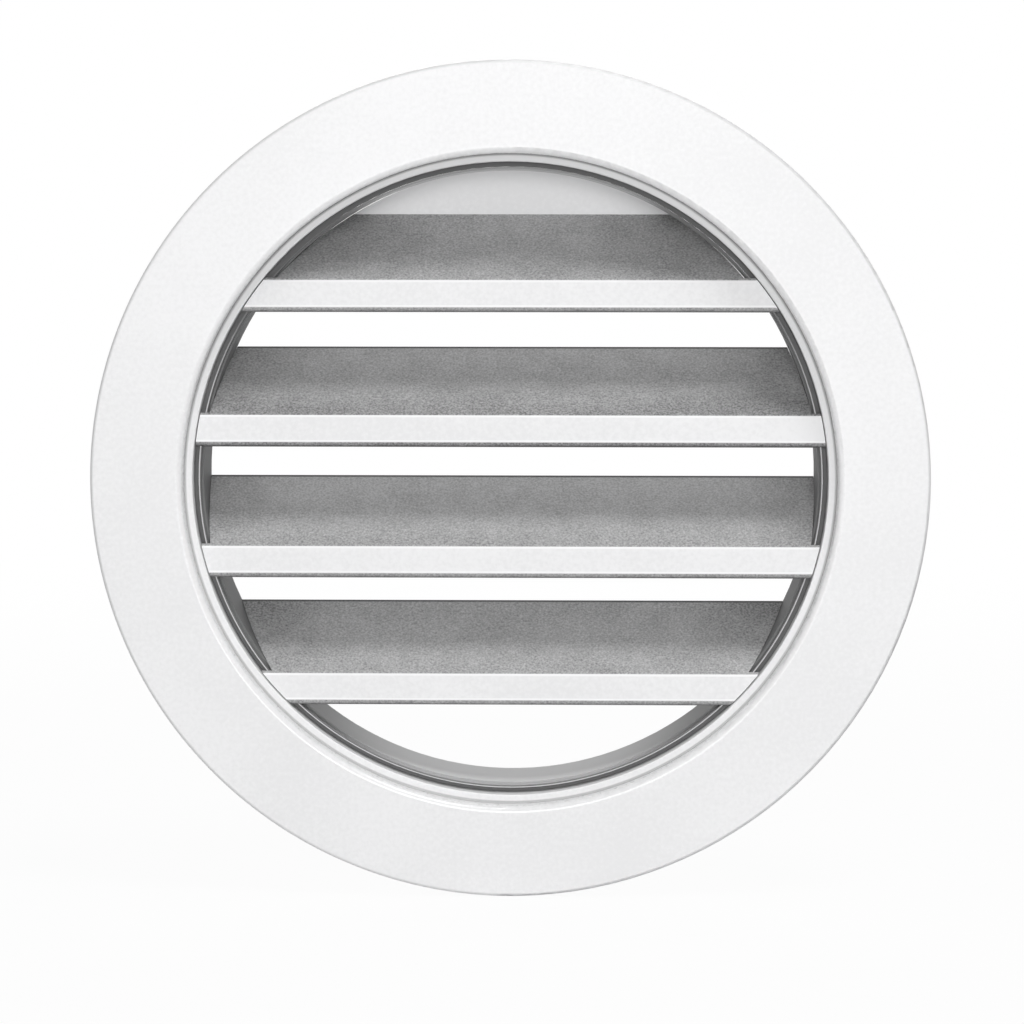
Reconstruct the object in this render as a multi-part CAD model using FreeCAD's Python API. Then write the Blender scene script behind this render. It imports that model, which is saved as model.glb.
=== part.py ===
import FreeCAD, Part
import math
import os

# Round weather louvre for the outside end of a 200 mm air duct: a pressed face ring, a rolled collar that
# slips into the duct, and fixed folded blades across it. Millimetres, +Z up, front towards -Y.
# The origin is on the ring's axis, in the plane of the wall, where the collar enters the duct.

# Collar, rolled from strip
collar_diameter = 197.0      # outside, where it enters the duct
collar_sheet = 0.6
collar_length = 28.2
collar_lead = 3.2            # its front edge stands this far ahead of its seat in the ring
collar_step = 0.6            # its rear part is drawn in this much, to enter the duct

# Face ring, pressed from sheet, listed from the collar outwards; radii are those of the seen side
ring_sheet = 1.2
seat_clearance = 0.05        # collar's front end to the hole that it is pressed into
trough_width = 1.7           # collar's front end to the neck around it
neck_depth = 6.5             # ledge to seat
ledge_width = 2.7
recess_depth = 6.5           # front face to ledge
face_width = 29.0
corner_radius = 0.3          # hollow corners at the seat and around the ledge
edge_radius = 0.4            # ledge's inner edge, pressed sharp
shoulder_radius = 2.0        # from the front face into the recess
rim_radius = 1.0             # from the front face to the rim

# Blades, each folded from one sheet and sloping up to the rear; radii are those of the seen side
blade_sheet = 1.0
blade_pitch = 42.8           # from the top blade to the next
pitch_step = 0.95            # each later step down is this much smaller
bottom_opening = 12.0        # the lowest blade leaves at least this much of the bore open below it
blade_rise = 19.9
blade_inset = 1.2            # collar's rear edge to the blade's rear edge
lip_height = 10.2
fold_radius = 1.4            # above the lip
foot_radius = 1.9            # below the lip
foot_return = 6.0            # turned back under the lip
lip_gap = 0.2                # back of the lip to the collar's front edge
lip_end_gap = 0.3            # lip's ends to the neck
blade_end_gap = 0.15         # blade's ends and tabs to the drawn-in bore
tab_length = 12.0            # end tabs that lie along the bore, under the slope
tab_drop = 8.0
upstand_height = 14.35       # turned up behind the top blade, to the top of the bore
crease_radius = 0.3          # below the upstand

inside_radius = 0.2          # least radius on the inside of any bend

# Radii about the axis
collar_radius = collar_diameter / 2
bore_radius = collar_radius - collar_sheet
front_radius = collar_radius + collar_step
front_bore_radius = bore_radius + collar_step
seat_radius = front_radius + seat_clearance
neck_radius = front_radius + trough_width
recess_radius = neck_radius + ledge_width
ring_radius = recess_radius + face_width
lip_radius = neck_radius - lip_end_gap
blade_radius = bore_radius - blade_end_gap

# Places along the axis, from the wall plane; the seat's back lies on the wall with the rim
seat_y = -ring_sheet
ledge_y = seat_y - neck_depth
face_y = ledge_y - recess_depth
collar_front_y = seat_y - collar_lead
collar_rear_y = collar_front_y + collar_length
inner_step_y = -collar_sheet
lip_back_y = collar_front_y - lip_gap
lip_front_y = lip_back_y - blade_sheet
blade_rear_y = collar_rear_y - blade_inset

axis_origin = FreeCAD.Vector(0, 0, 0)
axis = FreeCAD.Vector(0, 1, 0)


def along_axis(radius, start_y, end_y):
    return Part.makeCylinder(radius, end_y - start_y, FreeCAD.Vector(0, start_y, 0), axis)


def direction(start, end):
    length = math.hypot(end[0] - start[0], end[1] - start[1])
    return ((end[0] - start[0]) / length, (end[1] - start[1]) / length)


def left_of(run):
    return (-run[1], run[0])


def shifted(point, step, distance):
    return (point[0] + step[0] * distance, point[1] + step[1] * distance)


def back_skin(skin, sheet):
    # The sheet's other side, one sheet to the left of every straight run
    normals = [left_of(direction(a, b)) for a, b in zip(skin, skin[1:])]
    points = [shifted(skin[0], normals[0], sheet)]
    for corner, m, n in zip(skin[1:], normals, normals[1:]):
        reach = sheet / (1 + m[0] * n[0] + m[1] * n[1])
        points.append(shifted(corner, (m[0] + n[0], m[1] + n[1]), reach))
    points.append(shifted(skin[-1], normals[-1], sheet))
    return points


def skin_edges(points, radii, in_space):
    # Straight runs joined by tangent arcs, one radius for each corner between the ends
    edges = []
    start = points[0]
    for before, corner, after, radius in zip(points, points[1:], points[2:], radii):
        run_in = direction(before, corner)
        run_out = direction(corner, after)
        half_turn = math.acos(run_in[0] * run_out[0] + run_in[1] * run_out[1]) / 2
        reach = radius * math.tan(half_turn)
        bend_start = shifted(corner, run_in, -reach)
        bend_end = shifted(corner, run_out, reach)
        inwards = direction(run_in, run_out)
        bend_middle = shifted(corner, inwards, radius / math.cos(half_turn) - radius)
        edges.append(Part.LineSegment(in_space(start), in_space(bend_start)).toShape())
        edges.append(Part.Arc(in_space(bend_start), in_space(bend_middle), in_space(bend_end)).toShape())
        start = bend_end
    edges.append(Part.LineSegment(in_space(start), in_space(points[-1])).toShape())
    return edges


def bent_section(skin, seen_radii, sheet, in_space):
    # Section of a sheet whose seen side runs through the skin points, with the metal on the left.
    # The back follows the seen side's bends one sheet away, down to the least inside radius.
    back = back_skin(skin, sheet)
    back_radii = []
    for before, corner, after, radius in zip(skin, skin[1:], skin[2:], seen_radii):
        run_in = direction(before, corner)
        run_out = direction(corner, after)
        turns_left = run_in[0] * run_out[1] - run_in[1] * run_out[0] > 0
        back_radii.append(max(radius - sheet, inside_radius) if turns_left else radius + sheet)
    edges = skin_edges(skin, seen_radii, in_space)
    edges.append(Part.LineSegment(in_space(skin[-1]), in_space(back[-1])).toShape())
    edges += skin_edges(back[::-1], back_radii[::-1], in_space)
    edges.append(Part.LineSegment(in_space(back[0]), in_space(skin[0])).toShape())
    return Part.Face(Part.Wire(edges))


def make_face_ring():
    # Seat, neck, ledge, recess, front face and rim, from the collar outwards
    skin = [
        (seat_radius, seat_y),
        (neck_radius, seat_y),
        (neck_radius, ledge_y),
        (recess_radius, ledge_y),
        (recess_radius, face_y),
        (ring_radius, face_y),
        (ring_radius, 0.0),
    ]
    bends = [corner_radius, edge_radius, corner_radius, shoulder_radius, rim_radius]
    section = bent_section(skin, bends, ring_sheet, lambda p: FreeCAD.Vector(p[0], p[1], 0))
    return section.revolve(axis_origin, axis, 360)


def make_collar():
    # One sheet throughout: the outer step is level with the seat's back, the inner one a sheet ahead
    outside = along_axis(front_radius, collar_front_y, 0.0)
    outside = outside.fuse(along_axis(collar_radius, 0.0, collar_rear_y))
    inside = along_axis(front_bore_radius, collar_front_y, inner_step_y)
    inside = inside.fuse(along_axis(bore_radius, inner_step_y, collar_rear_y))
    return outside.cut(inside)


def trim_to_ring(blade):
    # The lip laps over the collar's front edge; behind it the blade's ends follow the bore
    lip_zone = along_axis(lip_radius, lip_front_y, lip_back_y)
    bore_zone = along_axis(blade_radius, lip_back_y, collar_rear_y)
    return blade.common(lip_zone.fuse(bore_zone))


def make_end_tabs(foot_z, in_space):
    # Strips that lie along the bore under the slope, where the blade is spot-welded
    slope = direction((lip_front_y, 0.0), (blade_rear_y, blade_rise))
    sheet_height = blade_sheet / slope[0]
    middle_y = (lip_front_y + blade_rear_y) / 2
    middle_z = foot_z + lip_height + blade_rise / 2 - sheet_height / 2
    half_run = (slope[0] * tab_length / 2, slope[1] * tab_length / 2)
    front = (middle_y - half_run[0], middle_z - half_run[1])
    rear = (middle_y + half_run[0], middle_z + half_run[1])
    depth = sheet_height / 2 + tab_drop
    outline = [front, rear, (rear[0], rear[1] - depth), (front[0], front[1] - depth), front]
    side = Part.Face(Part.makePolygon([in_space(p) for p in outline]))
    across = side.extrude(FreeCAD.Vector(2 * lip_radius, 0, 0))
    wall = along_axis(blade_radius, lip_back_y, collar_rear_y)
    wall = wall.cut(along_axis(blade_radius - blade_sheet, lip_back_y, collar_rear_y))
    return across.common(wall)


def make_blade(foot_z, has_upstand):
    lip_top_z = foot_z + lip_height
    skin = [
        (blade_rear_y, lip_top_z + blade_rise),
        (lip_front_y, lip_top_z),
        (lip_front_y, foot_z),
        (lip_front_y + foot_return, foot_z),
    ]
    bends = [fold_radius, foot_radius]
    if has_upstand:
        skin.insert(0, (blade_rear_y, collar_radius))
        bends.insert(0, crease_radius)
    in_space = lambda p: FreeCAD.Vector(-lip_radius, p[0], p[1])
    strip = bent_section(skin, bends, blade_sheet, in_space).extrude(FreeCAD.Vector(2 * lip_radius, 0, 0))
    blade = trim_to_ring(strip).fuse(make_end_tabs(foot_z, in_space))
    return blade.removeSplitter()


os.makedirs("parts", exist_ok=True)
pieces = {"face_ring": make_face_ring(), "collar": make_collar()}
foot_z = blade_radius - upstand_height - blade_rise - lip_height
pieces["top_blade"] = make_blade(foot_z, True)
step_down = blade_pitch
blade_number = 2
while foot_z - step_down > bottom_opening - bore_radius:
    foot_z -= step_down
    pieces["blade_" + str(blade_number)] = make_blade(foot_z, False)
    step_down -= pitch_step
    blade_number += 1

for name, shape in pieces.items():
    print(name, "solids", len(shape.Solids), "valid", shape.isValid(), "volume", round(shape.Volume, 1))
    shape.exportStep("parts/" + name + ".step")
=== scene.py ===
import math

import bpy
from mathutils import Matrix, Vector


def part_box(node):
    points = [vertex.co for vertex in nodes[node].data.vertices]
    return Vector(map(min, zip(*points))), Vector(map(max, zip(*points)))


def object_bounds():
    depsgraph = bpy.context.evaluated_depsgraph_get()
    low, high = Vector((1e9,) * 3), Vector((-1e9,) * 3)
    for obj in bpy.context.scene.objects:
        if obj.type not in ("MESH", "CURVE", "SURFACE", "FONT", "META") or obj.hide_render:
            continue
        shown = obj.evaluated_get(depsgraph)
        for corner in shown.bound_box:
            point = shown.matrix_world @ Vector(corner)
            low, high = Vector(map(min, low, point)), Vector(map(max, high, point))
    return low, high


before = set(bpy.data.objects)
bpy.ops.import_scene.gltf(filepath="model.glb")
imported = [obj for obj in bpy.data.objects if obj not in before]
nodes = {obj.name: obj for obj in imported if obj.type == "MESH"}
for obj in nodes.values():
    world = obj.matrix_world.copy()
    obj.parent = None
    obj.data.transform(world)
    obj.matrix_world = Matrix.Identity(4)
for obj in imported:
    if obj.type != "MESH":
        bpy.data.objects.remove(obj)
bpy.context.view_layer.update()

mm = 0.001
print("frame: loaded", len(nodes), "nodes")

# Places taken from the frame; the ring's axis runs along Y, and the front faces -Y
bladeSheet = 1.0 * mm
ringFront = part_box("face_ring")[0].y
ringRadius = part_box("face_ring")[1].x
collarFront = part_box("collar")[0].y
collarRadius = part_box("collar")[1].x
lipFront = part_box("blade_2")[0].y
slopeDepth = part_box("top_blade")[1].y - bladeSheet - lipFront  # to the front of the closing plate

grainMean = 0.5  # a grain runs from 0 to 1 around this
coolTint = 1.006  # every grey has a trace of blue


class Value:  # a socket that takes part in Python sums
    def __init__(self, graph, socket):
        self.graph = graph
        self.socket = socket

    def maths(self, operation, first, second):
        return self.graph.add("ShaderNodeMath", {"operation": operation}, {0: first, 1: second})

    def __add__(self, other):
        return self.maths("ADD", self, other)

    def __sub__(self, other):
        return self.maths("SUBTRACT", self, other)

    def __rsub__(self, other):
        return self.maths("SUBTRACT", other, self)

    def __mul__(self, other):
        return self.maths("MULTIPLY", self, other)

    def __neg__(self):
        return 0 - self

    __radd__ = __add__
    __rmul__ = __mul__


class Graph:  # the nodes of one material, or of the world
    def __init__(self, tree):
        self.tree = tree
        tree.nodes.clear()

    def add(self, nodeType, settings, inputs, output=0):  # any node: settings first, then values or links
        made = self.tree.nodes.new(nodeType)
        for name, setting in settings.items():
            setattr(made, name, setting)
        for key, given in inputs.items():
            if isinstance(given, Value):
                self.tree.links.new(given.socket, made.inputs[key])
            else:
                made.inputs[key].default_value = given
        return Value(self, made.outputs[output]) if made.outputs else None

    def place(self):
        return self.add("ShaderNodeTexCoord", {}, {}, "Object")

    def facing(self):  # the way the surface points
        return self.add("ShaderNodeNewGeometry", {}, {}, "Normal")

    def axes(self, vector):
        split = self.add("ShaderNodeSeparateXYZ", {}, {"Vector": vector}).socket.node
        return [Value(self, socket) for socket in split.outputs]

    def length(self, vector):
        return self.add("ShaderNodeVectorMath", {"operation": "LENGTH"}, {0: vector}, "Value")

    def axisRadius(self, place):  # distance from the ring's axis
        across = self.add("ShaderNodeVectorMath", {"operation": "MULTIPLY"}, {0: place, 1: (1, 0, 1)})
        return self.length(across)

    def outward(self, place, facing):  # above 0 on a wall that faces away from the axis
        inputs = {0: place, 1: facing}
        return self.add("ShaderNodeVectorMath", {"operation": "DOT_PRODUCT"}, inputs, "Value")

    def distance(self, value, other):
        return self.add("ShaderNodeMath", {"operation": "ABSOLUTE"}, {0: value - other})

    def grain(self, place, size, detail=2.0, roughness=0.5):
        inputs = {"Vector": place, "Scale": 1 / size, "Detail": detail, "Roughness": roughness}
        return self.add("ShaderNodeTexNoise", {}, inputs, "Fac")

    def rise(self, value, start, end):  # 0 before start, 1 after end, smooth between
        inputs = {"Value": value, "From Min": start, "From Max": end}
        return self.add("ShaderNodeMapRange", {"interpolation_type": "SMOOTHSTEP"}, inputs, "Result")

    def blend(self, factor, first, second):  # 6, 7 and 2 are the Mix node's colour sockets
        return self.add("ShaderNodeMix", {"data_type": "RGBA"}, {0: factor, 6: first, 7: second}, 2)

    def bump(self, height, distance, strength=0.6):
        inputs = {"Strength": strength, "Distance": distance, "Height": height}
        return self.add("ShaderNodeBump", {}, inputs)

    def surface(self, inputs):
        shader = self.add("ShaderNodeBsdfPrincipled", {}, inputs)
        self.add("ShaderNodeOutputMaterial", {}, {"Surface": shader})


def newMaterial(name):
    material = bpy.data.materials.new(name)
    material.use_nodes = True
    return material, Graph(material.node_tree)


def grey(level):
    return (level, level, level * coolTint, 1.0)


whiteCoat = {
    "bright": grey(0.89),
    "dull": grey(0.83),
    "cloudSize": 60 * mm,
    "cloudDetail": 3.0,
    "peelSize": 1.3 * mm,
    "peelHeight": 0.02 * mm,
    "mottleStart": 0.7,  # of cloud and peel together
    "mottleEnd": 1.3,
    "roughness": 0.42,
    "roughnessSpread": 0.12,
}


def coatPeel(graph, place):
    return graph.grain(place, whiteCoat["peelSize"])


def coatColour(graph, place, peel):
    cloud = graph.grain(place, whiteCoat["cloudSize"], whiteCoat["cloudDetail"])
    mottle = graph.rise(cloud + peel, whiteCoat["mottleStart"], whiteCoat["mottleEnd"])
    return graph.blend(mottle, whiteCoat["dull"], whiteCoat["bright"])


ringFinish = {  # insets run inwards from the outer edge, depths back from the front face
    "rimShade": grey(0.66),  # painted shade on the sharp outer edge
    "rimStart": 0.2 * mm,  # inset
    "rimEnd": 1.2 * mm,
    "rimDepth": 3.0 * mm,
    "ledgeTopShade": grey(0.62),  # painted shade on the upper part of the ledge
    "ledgeStart": -40 * mm,  # above the axis
    "ledgeEnd": 110 * mm,
    "ledgeInset": 27.0 * mm,
    "cornerShade": grey(0.48),  # painted shade in the hollow corner around the ledge
    # darker painted shade in that corner towards the top
    "cornerTopShade": grey(0.26),
    "cornerInset": 29.0 * mm,
    "cornerReach": 0.35 * mm,
    "cornerSoft": 0.7 * mm,
    "cornerStart": 4.9 * mm,  # depth
    "cornerEnd": 6.0 * mm,
    "neckShade": grey(0.70),  # painted shade on the neck, deep in the recess
    "neckInset": 31.7 * mm,
    "neckSoft": 0.3 * mm,
    "neckShadeStart": 8.5 * mm,  # depth
    "neckShadeEnd": 11.0 * mm,
    "troughShade": grey(0.19),  # painted shade at the bottom of the trough
    "troughShadeStart": 12.0 * mm,  # depth
    "troughShadeEnd": 12.8 * mm,
    "troughRoughness": 0.8,
    "shoulderRoughness": 0.25,  # smoother over the bend into the recess
    "shoulderInset": 28.0 * mm,
    "shoulderWidth": 1.4 * mm,
    "shoulderSoft": 1.0 * mm,
}


def makeRingFinish():
    finish = ringFinish
    material, graph = newMaterial("ringFinish")
    place = graph.place()
    along, height = graph.axes(place)[1:]
    depth = along - ringFront
    inset = ringRadius - graph.axisRadius(place)
    peel = coatPeel(graph, place)
    white = coatColour(graph, place, peel)

    # Painted shade along the outer edge
    rim = 1 - graph.rise(inset, finish["rimStart"], finish["rimEnd"])
    rim = rim * (1 - graph.rise(depth, 0.0, finish["rimDepth"]))
    colour = graph.blend(rim, white, finish["rimShade"])

    # Ledge and its hollow corner, with painted shade that grows towards the top
    recessed = graph.rise(depth, finish["cornerStart"], finish["cornerEnd"])
    high = graph.rise(height, finish["ledgeStart"], finish["ledgeEnd"])
    ledge = recessed * graph.rise(inset, finish["ledgeInset"], finish["cornerInset"])
    colour = graph.blend(high * ledge, colour, finish["ledgeTopShade"])
    fromCorner = graph.distance(inset, finish["cornerInset"]) - finish["cornerReach"]
    corner = recessed * (1 - graph.rise(fromCorner, 0.0, finish["cornerSoft"]))
    colour = graph.blend(corner, colour, graph.blend(high, finish["cornerShade"], finish["cornerTopShade"]))

    # Neck and trough, darkened with painted shade
    neck = graph.rise(inset, finish["neckInset"] - finish["neckSoft"], finish["neckInset"])
    neckShadeMask = neck * graph.rise(depth, finish["neckShadeStart"], finish["neckShadeEnd"])
    troughShade = neck * graph.rise(depth, finish["troughShadeStart"], finish["troughShadeEnd"])
    colour = graph.blend(neckShadeMask, colour, finish["neckShade"])
    # Painted shade in the trough
    colour = graph.blend(troughShade, colour, finish["troughShade"])

    fromShoulder = graph.distance(inset, finish["shoulderInset"]) - finish["shoulderWidth"] / 2
    flat = graph.rise(fromShoulder, 0.0, finish["shoulderSoft"])
    roughness = finish["shoulderRoughness"] + flat * (whiteCoat["roughness"] - finish["shoulderRoughness"])
    roughness = roughness + (peel - grainMean) * whiteCoat["roughnessSpread"]
    roughness = roughness + neckShadeMask * (finish["troughRoughness"] - roughness)
    normal = graph.bump(peel, whiteCoat["peelHeight"])
    graph.surface({"Base Color": colour, "Roughness": roughness, "Normal": normal})
    return material


collarFinish = {  # depths run back from the front edge
    "front": grey(0.52),  # painted shade towards the front of the bore, at the bottom
    "rear": grey(0.60),
    "rearStart": 4.0 * mm,  # depth
    "rearEnd": 20.0 * mm,
    "grainSpread": 0.2,
    "grainSize": 0.6 * mm,
    "step": grey(0.5),  # painted shade on the drawn-in step's face, which faces the front
    "stepStart": 0.3,  # how far the surface points to the front
    "stepEnd": 0.8,
    "side": grey(0.21),  # painted shade up the bore's inner sides
    "sideStart": 75 * mm,  # below the axis
    "sideEnd": 97 * mm,
    "topStart": 82 * mm,  # above the axis
    "topEnd": 92 * mm,
    "outsideShare": 0.5,  # of the radius, where a wall surely faces outwards
    "edge": grey(0.62),  # outer half of the cut front edge
    "edgeHigh": grey(0.15),  # painted shade up its sides
    "edgeHighStart": 15 * mm,  # above the axis
    "edgeHighEnd": 65 * mm,
    "edgeTop": grey(0.32),  # painted shade at the very top
    "edgeWidth": 0.3 * mm,
    "edgeSoft": 0.12 * mm,
    "shade": grey(0.16),  # inner half, and a little of the bore behind it
    "shadeStart": 1.0 * mm,  # depth
    "shadeEnd": 2.4 * mm,
    "roughness": 0.6,
    "sheen": 0.1,
}


def makeCollarFinish():
    finish = collarFinish
    material, graph = newMaterial("collarFinish")
    place = graph.place()
    facing = graph.facing()
    along, height = graph.axes(place)[1:]
    depth = along - collarFront
    inset = collarRadius - graph.axisRadius(place)

    # Walls, with painted shade towards the front, on the step's face and up the bore's inner sides
    grain = graph.grain(place, finish["grainSize"])
    toRear = graph.rise(depth, finish["rearStart"], finish["rearEnd"])
    toRear = toRear + (grain - grainMean) * finish["grainSpread"]
    wall = graph.blend(toRear, finish["front"], finish["rear"])
    step = graph.rise(-graph.axes(facing)[1], finish["stepStart"], finish["stepEnd"])
    wall = graph.blend(step, wall, finish["step"])
    top = graph.rise(height, finish["topStart"], finish["topEnd"])
    side = 1 - graph.rise(-height, finish["sideStart"], finish["sideEnd"]) - top
    outside = graph.rise(graph.outward(place, facing), 0.0, collarRadius * finish["outsideShare"])
    wall = graph.blend(side * (1 - outside), wall, finish["side"])

    # Cut front edge, with painted shade on its inner half, up its sides and at the very top
    outer = 1 - graph.rise(inset, finish["edgeWidth"], finish["edgeWidth"] + finish["edgeSoft"])
    high = graph.rise(height, finish["edgeHighStart"], finish["edgeHighEnd"])
    edge = graph.blend(outer, finish["shade"], graph.blend(high, finish["edge"], finish["edgeHigh"]))
    edge = graph.blend(top, edge, finish["edgeTop"])
    nearFront = 1 - graph.rise(depth, finish["shadeStart"], finish["shadeEnd"])
    colour = graph.blend(nearFront, wall, edge)

    inputs = {"Base Color": colour, "Roughness": finish["roughness"], "Specular IOR Level": finish["sheen"]}
    graph.surface(inputs)
    return material


bladeFinish = {  # depths run back from the lip's front
    "dark": grey(0.10),
    "light": grey(0.64),
    "levels": {  # where between dark and light the slope lies: rear, middle, front; set blade by blade, they carry painted shade and painted light over the slope's own grey
        "top_blade": (0.79, 0.66, 0.55),
        "blade_2": (0.76, 0.65, 0.34),
        "blade_3": (0.83, 0.74, 0.515),
        "blade_4": (0.58, 0.675, 0.54),
    },
    "levelShares": (0.95, 0.5, 0.05),  # of the slope's depth, where each of the three is reached
    "bendShade": -0.38,  # painted shade, added on the bend under the lip
    "bendStart": 0.4,  # how far the surface points down
    "bendEnd": 0.95,
    "bendDepth": 2.0 * mm,
    "bendSoft": 2.0 * mm,
    "bendSmooth": 0.7,  # share of the speckle that the bend loses
    "endShade": -0.14,  # painted shade: added towards the blade's ends, but not at the front
    "endRearShade": -0.15,  # and this as well in the rear corners
    "endStart": 70 * mm,  # from the axis
    "endEnd": 95 * mm,
    "speckle": 1.47,
    "speckleSize": 0.68 * mm,
    "speckleDetail": 3.0,
    "speckleRoughness": 0.6,
    "blotch": 0.31,
    "blotchSize": 9 * mm,
    "blotchDetail": 3.0,
    "footReach": 0.005 * mm,  # depth of the lip's white over the foot
    "foldReach": 0.2 * mm,  # and this much more over the upper fold
    "foldEnd": 0.3,  # how far the surface points up there
    "whiteSoft": 0.04 * mm,
    "footHighlight": grey(0.97),  # painted highlight along the lip's lower edge
    "footLineHeight": 2.05 * mm,
    "footLineWidth": 0.4 * mm,
    "footLineSoft": 0.15 * mm,
    "foldHighlight": grey(0.92),  # and a painted highlight along its upper edge
    "foldLineStart": 0.02,  # how far the surface points up
    "foldLineEnd": 0.15,
    "plateLead": 0.2 * mm,  # the plate's white starts this far ahead of it
    "plateSoft": 0.15 * mm,
    "plateShade": grey(0.80),  # painted shade towards the bore
    "plateShadeStart": 84 * mm,  # from the axis
    "plateShadeEnd": 100 * mm,
    "edgeLine": grey(0.10),  # dark along the cut rear edge
    "edgeWidth": 1.0 * mm,
    "edgeSoft": 0.6 * mm,
    "grainHeight": 0.03 * mm,
    "roughness": 0.55,
}


def slopeColour(node, graph, place, depth, upward, speckle):
    finish = bladeFinish
    rearLevel, middleLevel, frontLevel = finish["levels"][node]
    rearDepth, middleDepth, frontDepth = [slopeDepth * share for share in finish["levelShares"]]
    rear = graph.rise(depth, middleDepth, rearDepth)
    front = 1 - graph.rise(depth, frontDepth, middleDepth)
    level = middleLevel + rear * (rearLevel - middleLevel) + front * (frontLevel - middleLevel)
    # Painted shade towards the blade's ends and in its rear corners
    ends = graph.rise(graph.axisRadius(place), finish["endStart"], finish["endEnd"])
    level = level + ends * ((1 - front) * finish["endShade"] + rear * finish["endRearShade"])
    # Painted shade on the bend under the lip
    bend = graph.rise(-upward, finish["bendStart"], finish["bendEnd"])
    bend = bend * (1 - graph.rise(depth, finish["bendDepth"], finish["bendDepth"] + finish["bendSoft"]))
    level = level + bend * finish["bendShade"]
    level = level + (speckle - grainMean) * (1 - bend * finish["bendSmooth"]) * finish["speckle"]
    blotch = graph.grain(place, finish["blotchSize"], finish["blotchDetail"])
    level = level + (blotch - grainMean) * finish["blotch"]
    return graph.blend(level, finish["dark"], finish["light"])


def makeBladeFinish(node, hasPlate):
    finish = bladeFinish
    material, graph = newMaterial(node + "Finish")
    place = graph.place()
    along, height = graph.axes(place)[1:]
    depth = along - lipFront
    upward = graph.axes(graph.facing())[2]
    speckle = graph.grain(place, finish["speckleSize"], finish["speckleDetail"], finish["speckleRoughness"])
    white = coatColour(graph, place, coatPeel(graph, place))
    colour = slopeColour(node, graph, place, depth, upward, speckle)

    # White lip, with a painted highlight line along each edge
    whiteEnd = finish["footReach"] + graph.rise(upward, 0.0, finish["foldEnd"]) * finish["foldReach"]
    lip = 1 - graph.rise(depth - whiteEnd, 0.0, finish["whiteSoft"])
    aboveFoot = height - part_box(node)[0].z
    fromLine = graph.distance(aboveFoot, finish["footLineHeight"]) - finish["footLineWidth"] / 2
    lipWhite = graph.blend(graph.rise(fromLine, 0.0, finish["footLineSoft"]), finish["footHighlight"], white)
    # Painted highlight along the upper fold
    fold = graph.rise(upward, finish["foldLineStart"], finish["foldLineEnd"])
    lipWhite = graph.blend(fold, lipWhite, finish["foldHighlight"])
    colour = graph.blend(lip, colour, lipWhite)

    if hasPlate:
        plateStart = slopeDepth - finish["plateLead"]
        plate = graph.rise(depth, plateStart, plateStart + finish["plateSoft"])
        # Painted shade on the plate towards the bore
        nearBore = graph.rise(graph.axisRadius(place), finish["plateShadeStart"], finish["plateShadeEnd"])
        colour = graph.blend(plate, colour, graph.blend(nearBore, white, finish["plateShade"]))
    else:
        edgeStart = slopeDepth - finish["edgeWidth"]
        cutEdge = graph.rise(depth, edgeStart, edgeStart + finish["edgeSoft"])
        colour = graph.blend(cutEdge, colour, finish["edgeLine"])
    normal = graph.bump(speckle, finish["grainHeight"])
    graph.surface({"Base Color": colour, "Roughness": finish["roughness"], "Normal": normal})
    return material


finishes = {"face_ring": makeRingFinish(), "collar": makeCollarFinish()}
for blade in bladeFinish["levels"]:
    finishes[blade] = makeBladeFinish(blade, hasPlate=blade == "top_blade")
for name, node in nodes.items():
    node.data.materials.clear()
    node.data.materials.append(finishes[name])
print("finishes: made", len(bpy.data.materials))


studio = {
    "white": (1, 1, 1, 1),
    "floorSize": 8.0,  # metres, like the other lengths here
    "floorPaint": grey(0.7),
    "nearWhite": 0.96,  # share of plain white on the floor near the part; the rest shows the shadow
    "nearDistance": 0.25,
    "farDistance": 0.9,
    "ambient": 0.22,
    "lamps": {
        "key": {"place": (0.4, -0.5, 1.4), "size": 0.6, "watts": 11.5},
        "front": {"place": (0.03, -1.7, 0.16), "size": 0.8, "watts": 13.7},
        "rear": {"place": (0.0, 1.4, 0.5), "size": 0.8, "watts": 8.0},
    },
}


def whiteToTheEye(graph):  # 1 where the camera looks, also by way of a reflection
    path = graph.add("ShaderNodeLightPath", {}, {}).socket.node
    rays = ("Is Camera Ray", "Is Glossy Ray", "Is Transmission Ray")
    seen = [Value(graph, path.outputs[ray]) for ray in rays]
    return seen[0] + seen[1] + seen[2]


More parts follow.
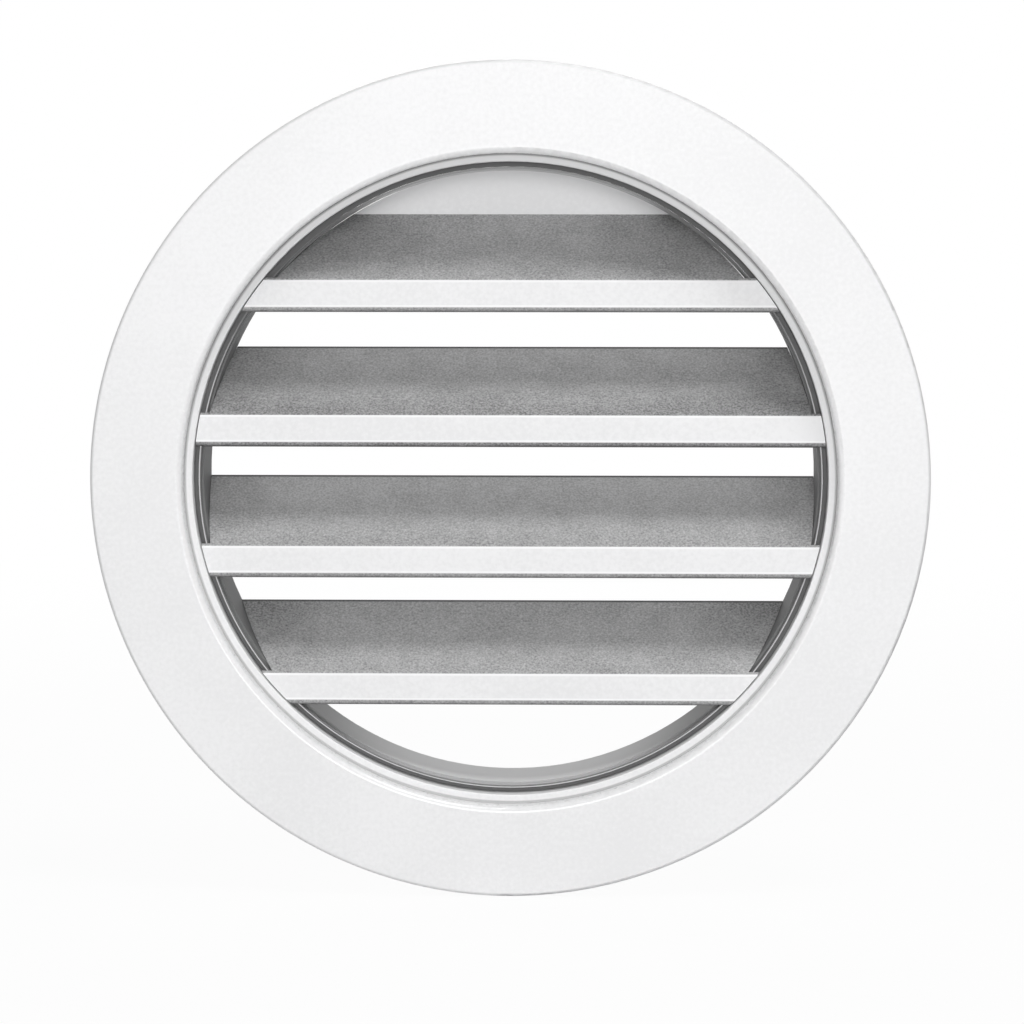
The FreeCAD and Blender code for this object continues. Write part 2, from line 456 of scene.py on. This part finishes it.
def makeFloor():
    bpy.ops.mesh.primitive_plane_add(size=studio["floorSize"], location=(0, 0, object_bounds()[0].z))
    floor = bpy.context.object
    floor.name = "floor"
    material, graph = newMaterial("floorWhite")
    paint = graph.add("ShaderNodeBsdfDiffuse", {}, {"Color": studio["floorPaint"]})
    glow = graph.add("ShaderNodeEmission", {}, {"Color": studio["white"], "Strength": 1.0})
    far = graph.rise(graph.length(graph.place()), studio["nearDistance"], studio["farDistance"])
    white = far * (1 - studio["nearWhite"]) + studio["nearWhite"]
    mixed = graph.add("ShaderNodeMixShader", {}, {0: whiteToTheEye(graph) * white, 1: paint, 2: glow})
    graph.add("ShaderNodeOutputMaterial", {}, {"Surface": mixed})
    floor.data.materials.append(material)


def makeWorld():
    world = bpy.data.worlds.new("studio")
    bpy.context.scene.world = world
    world.use_nodes = True
    graph = Graph(world.node_tree)
    strength = whiteToTheEye(graph) * (1 - studio["ambient"]) + studio["ambient"]
    light = graph.add("ShaderNodeBackground", {}, {"Color": studio["white"], "Strength": strength})
    graph.add("ShaderNodeOutputWorld", {}, {"Surface": light})


def makeLamp(name, lamp):  # aimed at the origin
    light = bpy.data.lights.new(name, "AREA")
    light.shape = "DISK"
    light.size = lamp["size"]
    light.energy = lamp["watts"]
    holder = bpy.data.objects.new(name, light)
    holder.location = lamp["place"]
    holder.rotation_euler = (-Vector(lamp["place"])).to_track_quat("-Z", "Y").to_euler()
    bpy.context.scene.collection.objects.link(holder)


makeFloor()
makeWorld()
for name, lamp in studio["lamps"].items():
    makeLamp(name, lamp)
print("stage: floor and", len(studio["lamps"]), "lamps set")


view = {
    "azimuth": 1.29,  # degrees
    "elevation": 6.0,
    "distance": 1.150,  # metres, from the middle of the ring's face
    "lens": 128.4,
    "sensor": 36.0,
    "right": 0.8 * mm,  # aim, from the same middle
    "below": 9.0 * mm,
}


def makeCamera():
    turn = math.radians(view["azimuth"])
    tilt = math.radians(view["elevation"])
    back = Vector((math.sin(turn) * math.cos(tilt), -math.cos(turn) * math.cos(tilt), math.sin(tilt)))
    right = Vector((math.cos(turn), math.sin(turn), 0))
    up = back.cross(right)
    faceCentre = Vector((0, ringFront, 0))
    eye = faceCentre + back * view["distance"]
    aim = faceCentre + right * view["right"] - up * view["below"]
    camera = bpy.data.objects.new("camera", bpy.data.cameras.new("camera"))
    camera.data.lens = view["lens"]
    camera.data.sensor_width = view["sensor"]
    camera.location = eye
    camera.rotation_euler = (aim - eye).to_track_quat("-Z", "Y").to_euler()
    bpy.context.scene.collection.objects.link(camera)
    bpy.context.scene.camera = camera
    bpy.context.scene.view_settings.view_transform = "Standard"
    print("camera: set at", [round(part, 4) for part in eye])


makeCamera()
